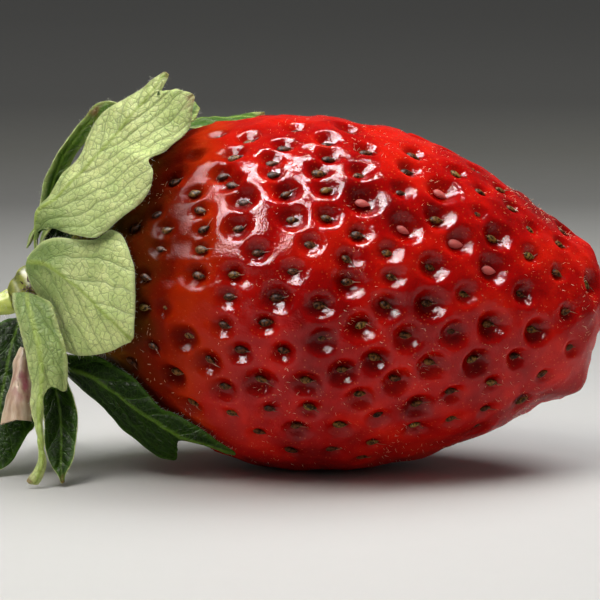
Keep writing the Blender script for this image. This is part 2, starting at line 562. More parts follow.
def leaf_material(name, cell, cell_light, vein, rib, margin, dull, contrast, roughness, gloss):
    """One face of a strawberry sepal: soft tissue in small cushions between a net of
    veins. The underside is pale and felted, the upper face dark and a little shiny."""
    material, tree, shader = new_material(
        name,
        Roughness=roughness,
        IOR=1.42,
        Specular_IOR_Level=gloss,
        Subsurface_Weight=0.12,
        Subsurface_Radius=(0.5, 1.0, 0.15),
        Subsurface_Scale=0.5 * MM,
    )
    place = add(tree, "TexCoord", "Object")
    across = add(tree, "Attribute", "Fac", attribute_name="across")
    along = add(tree, "Attribute", "Fac", attribute_name="along")
    edge = add(tree, "Attribute", "Fac", attribute_name="edge")
    tone = add(tree, "Attribute", "Fac", attribute_name="tone")
    spacing = add(tree, "Attribute", "Fac", attribute_name="vein_spacing")
    dry = add(tree, "Attribute", "Fac", attribute_name="dry")
    # The net's lines wander by up to 0.3 mm each way over about 1.5 mm. Its meshes are 0.7 and
    # 0.25 mm wide, and its lines are drawn about twice as thick as real, so that they show.
    wander = add(
        tree, "TexNoise", "Color", {"Vector": place, "Scale": 650.0, "Detail": 2.0}, noise_dimensions="3D"
    )
    bent = add(tree, "VectorMath", 0, {0: wander, 1: (0.0006,) * 3, 2: place}, operation="MULTIPLY_ADD")
    coarse = add(
        tree, "TexVoronoi", "Distance", {"Vector": bent, "Scale": 1450.0}, feature="DISTANCE_TO_EDGE"
    )
    small = add(
        tree, "TexVoronoi", "Distance", {"Vector": bent, "Scale": 4200.0}, feature="DISTANCE_TO_EDGE"
    )
    coarse_line = add(
        tree, "MapRange", "Result",
        {"Value": coarse, "From Min": 0.015, "From Max": 0.065, "To Min": 1.0, "To Max": 0.0},
    )
    small_line = add(
        tree, "MapRange", "Result",
        {"Value": small, "From Min": 0.02, "From Max": 0.10, "To Min": 0.45, "To Max": 0.0},
    )
    # Side veins leave the midrib at about 30 degrees, a few millimetres apart, and waver.
    wave = add(tree, "TexNoise", "Fac", {"Vector": place, "Scale": 240.0, "Detail": 2.0})
    slant = add(
        tree, "Math", 0,
        {0: add(tree, "Math", 0, {0: across}, operation="ABSOLUTE"), 1: -VEIN_SLOPE, 2: along},
        operation="MULTIPLY_ADD",
    )
    slant = add(tree, "Math", 0, {0: wave, 1: 3.2, 2: slant}, operation="MULTIPLY_ADD")
    from_vein = add(
        tree, "Math", 0,
        {0: slant, 1: add(tree, "Math", 0, {0: spacing, 1: 0.5}, operation="MULTIPLY")},
        operation="PINGPONG",
    )
    side_line = add(
        tree, "MapRange", "Result",
        {"Value": from_vein, "From Min": 0.05, "From Max": 0.18, "To Min": 1.0, "To Max": 0.0},
    )
    side_glow = add(
        tree, "MapRange", "Result",
        {"Value": from_vein, "From Min": 0.1, "From Max": 0.8, "To Min": 0.35, "To Max": 0.0},
    )
    from_rib = add(tree, "Math", 0, {0: across}, operation="ABSOLUTE")
    rib_line = add(
        tree, "MapRange", "Result",
        {"Value": from_rib, "From Min": 0.06, "From Max": 0.28, "To Min": 0.8, "To Max": 0.0},
    )
    net = add(tree, "Math", 0, {0: coarse_line, 1: small_line}, operation="MAXIMUM")
    net = add(tree, "Math", 0, {0: net, 1: side_line}, operation="MAXIMUM")
    # Tissue colour drifts over 4 mm patches and with each leaf's own tone.
    drift = add(tree, "TexNoise", "Fac", {"Vector": place, "Scale": 260.0, "Detail": 3.0})
    drift = add(tree, "MapRange", "Result", {"Value": drift, "From Min": 0.32, "From Max": 0.68})
    tissue = add(
        tree, "Mix", 2, {"Factor": drift, 6: linear(cell), 7: linear(cell_light)}, data_type="RGBA"
    )
    tissue = add(tree, "Mix", 2, {"Factor": side_glow, 6: tissue, 7: linear(margin)}, data_type="RGBA")
    # Towards its foot the blade is thicker and greener, in uneven patches.
    foot = add(
        tree, "MapRange", "Result",
        {
            "Value": add(tree, "Math", 0, {0: drift, 1: 5.0, 2: along}, operation="MULTIPLY_ADD"),
            "From Min": 4.0, "From Max": 14.0, "To Min": 0.95, "To Max": 0.0,
        },
    )
    tissue = add(tree, "Mix", 2, {"Factor": foot, 6: tissue, 7: linear(dull)}, data_type="RGBA")
    tissue = add(
        tree, "Mix", 2,
        {
            "Factor": add(
                tree, "MapRange", "Result",
                {"Value": tone, "From Min": 0.8, "From Max": 0.0, "To Max": 0.85},
            ),
            6: tissue, 7: linear(dull),
        },
        data_type="RGBA",
    )
    colour = add(
        tree, "Mix", 2,
        {
            "Factor": add(tree, "Math", 0, {0: net, 1: contrast}, operation="MULTIPLY"), 6: tissue,
            7: linear(vein),
        },
        data_type="RGBA",
    )
    colour = add(tree, "Mix", 2, {"Factor": rib_line, 6: colour, 7: linear(rib)}, data_type="RGBA")
    # The last half millimetre of the margin is thin and pale.
    rim = add(
        tree, "MapRange", "Result",
        {"Value": edge, "From Min": 0.10, "From Max": 0.55, "To Min": 0.85, "To Max": 0.0},
    )
    colour = add(tree, "Mix", 2, {"Factor": rim, 6: colour, 7: linear(margin)}, data_type="RGBA")
    colour = add(tree, "Mix", 2, {"Factor": dry, 6: colour, 7: linear("8a5a34")}, data_type="RGBA")
    tree.links.new(colour, shader.inputs["Base Color"])
    height = add(
        tree, "Math", 0,
        {0: net, 1: -0.5, 2: add(tree, "Math", 0, {0: coarse, 1: 0.9}, operation="MULTIPLY")},
        operation="MULTIPLY_ADD",
    )
    # The tissue is pinched in along each side vein.
    height = add(tree, "Math", 0, {0: side_glow, 1: -2.2, 2: height}, operation="MULTIPLY_ADD")
    bump = add(tree, "Bump", "Normal", {"Height": height, "Strength": 0.8, "Distance": 0.20 * MM})
    tree.links.new(bump, shader.inputs["Normal"])
    return material


def petal_material():
    """Withered petal: a dry, papery skin gone cream and pink, creased along its length."""
    material, tree, shader = new_material(
        "petal_withered", Roughness=0.6, IOR=1.4, Subsurface_Weight=0.15,
        Subsurface_Radius=(1.0, 0.5, 0.3), Subsurface_Scale=0.6 * MM,
    )
    place = add(tree, "TexCoord", "Object")
    stretched = add(tree, "Mapping", "Vector", {"Vector": place, "Scale": (1.0, 1.0, 0.28)})
    # Creases about 0.7 mm apart that run down the petal.
    crease = add(tree, "TexNoise", "Fac", {"Vector": stretched, "Scale": 1500.0, "Detail": 3.0})
    base = add(
        tree, "ValToRGB", "Color",
        {"Fac": crease},
        stops=[(0.3, "a5836a"), (0.5, "c9ab8e"), (0.7, "dcc6aa")],
    )
    blush = add(tree, "Attribute", "Fac", attribute_name="blush")
    mottled = add(tree, "TexNoise", "Fac", {"Vector": place, "Scale": 1100.0, "Detail": 2.0})
    amount = add(
        tree, "Math", 0,
        {
            0: blush,
            1: add(tree, "MapRange", "Result", {"Value": mottled, "From Min": 0.35, "From Max": 0.6}),
        },
        operation="MULTIPLY",
    )
    colour = add(tree, "Mix", 2, {"Factor": amount, 6: base, 7: linear("9a3a52")}, data_type="RGBA")
    edge = add(tree, "Attribute", "Fac", attribute_name="edge")
    rim = add(
        tree, "MapRange", "Result",
        {"Value": edge, "From Min": 0.05, "From Max": 0.5, "To Min": 0.8, "To Max": 0.0},
    )
    colour = add(tree, "Mix", 2, {"Factor": rim, 6: colour, 7: linear("e4d3b4")}, data_type="RGBA")
    tree.links.new(colour, shader.inputs["Base Color"])
    bump = add(tree, "Bump", "Normal", {"Height": crease, "Strength": 0.8, "Distance": 0.15 * MM})
    tree.links.new(bump, shader.inputs["Normal"])
    return material


def flesh_green_material(name, dark, light, dried, grain, roughness):
    """Green stem tissue: smooth and juicy under short fibres that run along it, with a
    few dried brown specks."""
    material, tree, shader = new_material(
        name, Roughness=roughness, IOR=1.42, Subsurface_Weight=0.2,
        Subsurface_Radius=(0.8, 1.0, 0.2), Subsurface_Scale=0.8 * MM,
    )
    place = add(tree, "TexCoord", "Object")
    stretched = add(tree, "Mapping", "Vector", {"Vector": place, "Scale": (0.2, 1.0, 1.0)})
    fibres = add(tree, "TexNoise", "Fac", {"Vector": stretched, "Scale": grain, "Detail": 3.0})
    base = add(tree, "ValToRGB", "Color", {"Fac": fibres}, stops=[(0.3, dark), (0.7, light)])
    specks = add(tree, "TexNoise", "Fac", {"Vector": place, "Scale": 900.0, "Detail": 2.0})
    amount = add(
        tree, "MapRange", "Result", {"Value": specks, "From Min": 0.66, "From Max": 0.74, "To Max": 0.7}
    )
    colour = add(tree, "Mix", 2, {"Factor": amount, 6: base, 7: linear(dried)}, data_type="RGBA")
    tree.links.new(colour, shader.inputs["Base Color"])
    bump = add(tree, "Bump", "Normal", {"Height": fibres, "Strength": 0.5, "Distance": 0.1 * MM})
    tree.links.new(bump, shader.inputs["Normal"])
    return material


def floor_material():
    """Matt white painted board. It is pale round the fruit and painted darker far behind it
    and out of view in front."""
    material, tree, shader = new_material(
        "painted_board_matt", Roughness=0.55, IOR=1.45, Specular_IOR_Level=0.25
    )
    place = add(tree, "TexCoord", "Object")
    far = add(tree, "VectorMath", "Value", {0: place, 1: (0.0, -0.04, 0.0)}, operation="DISTANCE")
    # Brush marks about 3 mm wide, barely lighter and darker than the paint.
    marks = add(tree, "TexNoise", "Fac", {"Vector": place, "Scale": 300.0, "Detail": 2.0})
    fade = add(
        tree, "ValToRGB", "Color",
        {"Fac": far},
        stops=[
            (0.0, "c3c3c1"), (0.07, "bcbcba"), (0.13, "a0a09e"), (0.21, "888885"), (0.28, "5f5f5c"),
            (0.37, "54544f"), (0.48, "4d4d4a"), (0.9, "7c7c79"),
        ],
    )
    colour = add(
        tree, "Mix", 2,
        {
            "Factor": add(tree, "Math", 0, {0: marks, 1: 0.05}, operation="MULTIPLY"), 6: fade,
            7: linear("9a9a96"),
        },
        data_type="RGBA",
    )
    # The dark front, which the camera doesn't see, keeps the board from shining in the wax.
    depth = add(tree, "SeparateXYZ", "Y", {"Vector": place})
    near = add(
        tree, "MapRange", "Result",
        {"Value": depth, "From Min": -0.10, "From Max": -0.18, "To Min": 0.0, "To Max": 0.75},
    )
    colour = add(tree, "Mix", 2, {"Factor": near, 6: colour, 7: linear("2c2c2a")}, data_type="RGBA")
    tree.links.new(colour, shader.inputs["Base Color"])
    return material


# ---------------------------------------------------------------- shapes


def smooth_between(values, index, step):
    """A smooth curve through the values, read this step of the way on from each index."""
    last = len(values) - 1
    start, end = values[index], values[index + 1]
    bend_in = (end - values[np.maximum(index - 1, 0)]) * 0.5
    bend_out = (values[np.minimum(index + 2, last)] - start) * 0.5
    square, cube = step**2, step**3
    return (
        start * (2 * cube - 3 * square + 1)
        + bend_in * (cube - 2 * square + step)
        + end * (3 * square - 2 * cube)
        + bend_out * (cube - square)
    )


def smooth_line(points, shares):
    """The points these shares of the way along a smooth line through the given points."""
    points = np.asarray(points, float)
    spans = np.linalg.norm(np.diff(points, axis=0), axis=1)
    reach = np.concatenate([[0.0], np.cumsum(spans)])
    place = np.clip(shares, 0.0, 1.0) * reach[-1]
    index = np.clip(np.searchsorted(reach, place, side="right") - 1, 0, len(spans) - 1)
    return smooth_between(points, index, ((place - reach[index]) / spans[index])[:, None])


def unit(vectors):
    """The vectors, each at length one."""
    length = np.linalg.norm(vectors, axis=-1, keepdims=True)
    return vectors / np.maximum(length, 1e-12)


def wobble(points, size, seed, waves=7):
    """A smooth random height between about -1 and 1, whose bumps are this size."""
    random = np.random.default_rng(seed)
    directions = unit(random.normal(size=(waves, 3))) * (2 * math.pi / size)
    directions *= random.uniform(0.6, 1.5, (waves, 1))
    phases = random.uniform(0, 2 * math.pi, waves)
    return np.sin(points @ directions.T + phases).sum(-1) / math.sqrt(waves)


def mesh_object(name, points, faces, material_slots, face_slots=None, layers=None):
    """An object from points in millimetres and its faces, with its named point layers."""
    mesh = bpy.data.meshes.new(name)
    mesh.from_pydata((np.asarray(points) * MM).tolist(), [], faces)
    mesh.validate()
    for material in material_slots:
        mesh.materials.append(material)
    if face_slots is not None:
        mesh.polygons.foreach_set("material_index", face_slots)
    mesh.polygons.foreach_set("use_smooth", [True] * len(mesh.polygons))
    for layer, values in (layers or {}).items():
        attribute = mesh.attributes.new(layer, "FLOAT", "POINT")
        attribute.data.foreach_set("value", np.asarray(values, np.float32).ravel())
    mesh.update()
    thing = bpy.data.objects.new(name, mesh)
    bpy.context.scene.collection.objects.link(thing)
    return thing


def grid_faces(rows, columns, closed=False):
    """Four-sided faces over a grid of points; closed joins the last column to the first."""
    faces = []
    across = columns if closed else columns - 1
    for row in range(rows - 1):
        for column in range(across):
            after = (column + 1) % columns
            a = row * columns + column
            b = row * columns + after
            faces.append((a, b, b + columns, a + columns))
    return faces


def closed_faces(rows, columns):
    """Faces over rings of points, closed by a fan round each of two end points after them."""
    faces = [face[::-1] for face in grid_faces(rows, columns, closed=True)]
    count = rows * columns
    for column in range(columns):
        after = (column + 1) % columns
        faces.append((count, column, after))
        faces.append((count + 1, count - columns + after, count - columns + column))
    return faces


def threads(roots, directions, lengths, radii, bends, sides=3):
    """Fine closed tapered threads: points and faces for many at once. Each bends by its
    own vector towards the tip."""
    count = len(roots)
    helper = np.where(np.abs(directions[:, 2:3]) < 0.8, [[0.0, 0.0, 1.0]], [[1.0, 0.0, 0.0]])
    one = unit(np.cross(directions, helper))
    two = np.cross(directions, one)
    angles = np.arange(sides) * 2 * math.pi / sides
    ring = one[:, None] * np.cos(angles)[None, :, None] + two[:, None] * np.sin(angles)[None, :, None]
    levels = (0.0, 0.35, 0.7)
    points = []
    for level in levels:
        centre = roots + directions * (lengths * level)[:, None] + bends * level**2
        size = radii * (1 - 0.8 * level)
        points.append(centre[:, None] + ring * size[:, None, None])
    tip = roots + directions * lengths[:, None] + bends
    points.append(tip[:, None])
    block = np.concatenate(points, axis=1)
    per = block.shape[1]
    base = np.arange(count)[:, None] * per
    pattern = [tuple(range(sides))[::-1]]
    for level in range(len(levels) - 1):
        for side in range(sides):
            after = (side + 1) % sides
            low, high = level * sides, (level + 1) * sides
            pattern.append((low + side, low + after, high + after, high + side))
    top = (len(levels) - 1) * sides
    pattern += [(top + s, top + (s + 1) % sides, per - 1) for s in range(sides)]
    faces = []
    for shape in pattern:
        faces += (base + np.array(shape)).tolist()
    return block.reshape(-1, 3), faces


def settle(piece, slot, *nodes):
    """Puts a finished piece on the object in its slot, in place of the plain solids named."""
    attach(piece, "root")
    if nodes:
        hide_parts(*nodes)


def thread_piece(name, slot, material, roots, ways, lengths, radius, bends, sides=3):
    """One piece made of many threads, all equally thick at the root."""
    block, faces = threads(roots, ways, lengths, np.full(len(roots), radius), bends, sides)
    settle(mesh_object(name, block, faces, [material]), slot)


# ---------------------------------------------------------------- the fruit


def fullness(share):
    """How full the fruit is at these shares of its length, where 0 is the stalk end."""
    stations = np.array(FULLNESS)
    place = np.clip(share, 0, 1) * (len(stations) - 1)
    index = np.clip(place.astype(int), 0, len(stations) - 2)
    return smooth_between(stations, index, place - index)


def plain_skin(share, angle):
    """Points of the skin before its pits, in millimetres."""
    length = FRUIT_LENGTH * share
    radius = fullness(share) * np.sqrt(np.maximum(length * (FRUIT_LENGTH - length), 0.0))
    radius = radius * (1 + LOBE_DEPTH * np.sin(3 * angle + 0.8) * np.sin(math.pi * share))
    y, z = radius * np.cos(angle), radius * np.sin(angle)
    cosine, sine = math.cos(FRUIT_TILT), math.sin(FRUIT_TILT)
    return np.stack(
        [length * cosine + z * sine, y, z * cosine - length * sine], axis=-1
    ) + STALK_END


def skin_lift():
    """How far the plain skin rises so that its top meets the top of the frame's fruit."""
    share, angle = np.meshgrid(np.linspace(0, 1, 200), np.linspace(0, 2 * math.pi, 200))
    return FRUIT_TOP - plain_skin(share, angle)[..., 2].max()


def skin_frame(share, angle):
    """The skin's points, outward normals and directions towards the tip."""
    small = 1e-4
    inner = np.clip(share, 2 * small, 1 - 2 * small)
    here = plain_skin(share, angle) + [0, 0, skin_lift()]
    lengthwise = plain_skin(inner + small, angle) - plain_skin(inner - small, angle)
    around = plain_skin(inner, angle + small) - plain_skin(inner, angle - small)
    normal = unit(np.cross(around, lengthwise))
    return here, normal, unit(lengthwise)


def camera_frame():
    """The camera's place and its right, up and forward directions, in millimetres."""
    e = math.radians(VIEW_ELEVATION)
    right, up = np.array((1.0, 0.0, 0.0)), np.array((0.0, math.sin(e), math.cos(e)))
    forward = np.array((0.0, math.cos(e), -math.sin(e)))
    return VIEW_TARGET - forward * VIEW_DISTANCE, right, up, forward


def seen_at(points):
    """Where these points are seen, on the plane through the target that faces the camera."""
    eye, right, up, forward = camera_frame()
    offset = points - eye
    scale = VIEW_DISTANCE / (offset @ forward)
    seen = np.stack([offset @ right, offset @ up], axis=-1) * scale[:, None]
    return seen + VIEW_TARGET[[0, 2]]


def front_seeds():
    """Each front seed's share, angle, pit depth and pit reach, and whether it is pale."""
    ring = 0.5 * (1 - np.cos(np.linspace(0.02, math.pi - 0.02, 300)))
    share, angle = [part.ravel() for part in np.meshgrid(ring, np.linspace(0, 2 * math.pi, 600))]
    points, normals, _ = skin_frame(share, angle)
    facing = ((camera_frame()[0] - points) * normals).sum(axis=-1) > 0
    share, angle, seen = share[facing], angle[facing], seen_at(points[facing])
    found = []
    for kind, places in FRONT_SEEDS.items():
        for place in places:
            nearest = ((seen - place) ** 2).sum(axis=-1).argmin()
            found.append((share[nearest], angle[nearest], *PIT_SHAPES[kind], kind == "pale"))
    return np.array(found)


def spiral_seeds(settings):
    """Seeds in the spiral that a strawberry grows: each one golden angle on from the last."""
    random = np.random.default_rng(7)
    share = np.linspace(0.0, 1.0, 1200)
    points = plain_skin(share, np.zeros_like(share))
    step = np.linalg.norm(np.diff(points, axis=0), axis=1)
    radius = fullness(share) * np.sqrt(share * (1 - share)) * FRUIT_LENGTH
    closer = np.interp(share, (0.0, 0.12, 0.4, 0.85, 1.0), (0.80, 0.88, 1.0, 0.92, 0.78))
    spacing = settings.seed_spacing / MM * closer
    density = 2 * math.pi * radius / (0.87 * spacing**2)
    count = np.concatenate([[0.0], np.cumsum(0.5 * (density[1:] + density[:-1]) * step)])
    total = int(count[-1])
    order = np.arange(total) + 0.5
    shares = np.interp(order, count, share)
    angles = order * GOLDEN_ANGLE + 0.4
    shares = shares + random.normal(0, 0.0035, total)
    angles = angles + random.normal(0, 0.018, total)
    keep = (shares > 0.03) & (shares < 0.998)
    return shares[keep], angles[keep]


def all_seeds(settings):
    """The front's seeds, and the spiral's over the rest of the fruit."""
    front = front_seeds()
    shares, angles = spiral_seeds(settings)
    points, normals, _ = skin_frame(shares, angles)
    taken, _, _ = skin_frame(front[:, 0], front[:, 1])
    toward = unit(camera_frame()[0] - points)
    unseen = ((toward * normals).sum(axis=-1) < 0.06) | (seen_at(points)[:, 0] < COVERED_X)
    gap = np.linalg.norm(points[:, None] - taken[None], axis=-1).min(axis=1)
    keep = unseen & (gap > SEED_GAP)
    shares, angles = shares[keep], angles[keep]
    depth = np.interp(shares, (0.0, 0.12, 0.30, 0.80, 1.0), (0.30, 0.42, 0.85, 0.9, 0.6))
    reach = np.interp(depth, (0.3, 0.9), (0.8, 1.22))
    rest = np.stack([shares, angles, depth, reach, np.zeros_like(depth)], axis=-1)
    return np.concatenate([front, rest])


class Seeds:
    """Where the seeds are, and the size of the pit round each."""

    def __init__(self, settings):
        random = np.random.default_rng(11)
        found = all_seeds(settings)
        self.shares, self.angles = found[:, 0], found[:, 1]
        self.points, self.normals, self.lengthwise = skin_frame(self.shares, self.angles)
        count = len(self.shares)
        deepest = settings.pit_depth / MM
        self.depths = deepest * found[:, 2] * random.uniform(0.90, 1.10, count)
        self.reaches = found[:, 3] * random.uniform(0.94, 1.06, count)
        smaller = np.interp(self.shares, (0, 0.2, 1), (0.92, 1.0, 0.95))
        self.sizes = random.uniform(0.88, 1.12, count) * smaller
        self.turns = random.normal(0, 0.22, count)
        self.tones = np.clip(random.beta(2.2, 2.4, count) * 0.9, 0, 0.9)
        self.tones[found[:, 4] > 0] = 1.0
        self.sizes[found[:, 4] > 0] *= 1.2
        self.random = random


def pit_depths(points, seeds, deepest):
    """How far the skin sinks at these points, from 0 to about the deepest pit."""
    left = np.ones(len(points))
    for centre, depth, reach in zip(seeds.points, seeds.depths, seeds.reaches):
        near = np.flatnonzero(np.abs(points - centre).max(axis=1) < PIT_SPAN)
        offset = points[near] - centre
        offset[:, 0] /= PIT_STRETCH
        far = np.linalg.norm(offset, axis=1) / reach
        left[near] *= 1 - depth / (deepest * SUNK_MOST) * np.exp(-(far**4.0))
    return deepest * SUNK_MOST * (1 - left)


def build_fruit(settings):
    """The skin with a pit round each seed; gives back the seeds."""
    seeds = Seeds(settings)
    rings, around = 216, 440
    # Rings crowd towards both ends, where the skin curves most.
    share = 0.5 * (1 - np.cos(np.linspace(0, math.pi, rings + 1)[1:-1]))
    angle = np.arange(around) * 2 * math.pi / around
    shares, angles = [part.T.ravel() for part in np.meshgrid(share, angle)]
    base, normal, _ = skin_frame(shares, angles)
    deepest = settings.pit_depth / MM
    sink = pit_depths(base, seeds, deepest)
    swell = 0.16 * wobble(base, 9.0, 3) + 0.07 * wobble(base, 3.4, 4) + 0.015 * wobble(base, 1.1, 5)
    for spot, height, size in SKIN_SWELLS:
        far = np.linalg.norm(base - np.array(spot), axis=-1)
        swell = swell + height * np.exp(-((far / size) ** 2))
    points = base + normal * (swell - sink)[:, None]
    points[:, 2] = np.maximum(points[:, 2], 0.0)
    ends, _, _ = skin_frame(np.array([0.0, 1.0]), np.zeros(2))
    points = np.concatenate([points, ends])
    faces = closed_faces(len(share), around)
    pit = np.concatenate([np.clip(sink / deepest, 0, 1), [0.0, 0.0]])
    lengths = np.concatenate([shares * FRUIT_LENGTH, [0.0, FRUIT_LENGTH]])
    layers = {"pit": pit, "neck": lengths}
    fruit = mesh_object("fruit_skin", points, faces, [skin_material()], layers=layers)
    settle(fruit, "fruit_skin", "fruit")
    return seeds


def teardrop(rings=7, sides=10):
    """A seed of unit length, pointed at its +X end, as rings of points and its faces."""
    points, share = [], np.linspace(0, 1, rings + 2)[1:-1]
    for s in share:
        wide = math.sin(math.pi * s**0.85) ** 0.8 * (1 - 0.25 * s)
        for side in range(sides):
            turn = 2 * math.pi * side / sides
            points.append((s - 0.5, 0.5 * wide * math.cos(turn), 0.5 * wide * math.sin(turn)))
    points += [(-0.5, 0, 0), (0.5, 0, 0)]
    return np.array(points), closed_faces(rings, sides)


def build_seeds(settings, seeds):
    """All the seeds in one piece, and the dried styles that stand on them in another."""
    template, pattern = teardrop()
    points, faces, tones = [], [], []
    random = seeds.random
    length, width, height = (v / MM for v in settings.seed_size)
    sinks = pit_depths(seeds.points, seeds, settings.pit_depth / MM)
    style_roots, style_ways, style_bends, style_lengths = [], [], [], []
    for i in range(len(seeds.shares)):
        normal, forward = seeds.normals[i], seeds.lengthwise[i]
        side = np.cross(normal, forward)
        turn = seeds.turns[i]
        forward = forward * math.cos(turn) + side * math.sin(turn)
        side = np.cross(normal, forward)
        size = seeds.sizes[i]
        centre = seeds.points[i] - normal * (sinks[i] - SEED_RISE)
        if centre[2] < LOWEST_SEED:
            continue
        shape = (
            template[:, :1] * forward * length * size
            + template[:, 1:2] * side * width * size
            + template[:, 2:] * normal * height * size
        )
        start = sum(len(block) for block in points)
        points.append(centre + shape)
        faces += [tuple(start + k for k in face) for face in pattern]
        tones.append(np.full(len(template), seeds.tones[i]))
        if random.uniform() < STYLES_LEFT:
            style_roots.append(centre + forward * length * 0.30 * size + normal * 0.16)
            tilt = random.uniform(0.05, 0.45)
            style_ways.append(unit(forward * 1.0 + normal * tilt + side * random.normal(0, 0.4)))
            style_bends.append(side * random.normal(0, 0.25) + forward * 0.15 - normal * 0.15)
            style_lengths.append(random.uniform(0.5, 1.1))
    layers = {"tone": np.concatenate(tones)}
    nuts = mesh_object("seeds", np.concatenate(points), faces, [seed_material()], layers=layers)
    settle(nuts, "fruit_skin")
    brown = thread_material("style_dried", "4a2414", "a87048")
    parts = (np.array(part) for part in (style_roots, style_ways, style_lengths))
    thread_piece("dried_styles", "fruit_skin", brown, *parts, 0.050, np.array(style_bends), sides=4)


def build_fruit_hairs(settings, seeds):
    """Short pale hairs over the whole skin, drawn about twice as thick as real so that they
    show."""
    random = np.random.default_rng(23)
    shares = random.uniform(0.04, 0.97, HAIR_COUNT)
    angles = random.uniform(0, 2 * math.pi, HAIR_COUNT)
    points, normals, forward = skin_frame(shares, angles)
    sinks = pit_depths(points, seeds, settings.pit_depth / MM)
    roots = points - normals * (sinks + HAIR_ROOT)[:, None]
    keep = roots[:, 2] > LOWEST_HAIR
    roots, normals, forward = roots[keep], normals[keep], forward[keep]
    ways = unit(0.6 * normals + random.normal(size=roots.shape))
    lengths = random.uniform(0.20, 0.50, len(roots))
    gold = thread_material("fruit_hair", "f0a868", "ffe8c8", 0.4)
    thread_piece("fruit_hairs", "fruit_skin", gold, roots, ways, lengths, 0.022, forward * 0.15)


# ---------------------------------------------------------------- the cap


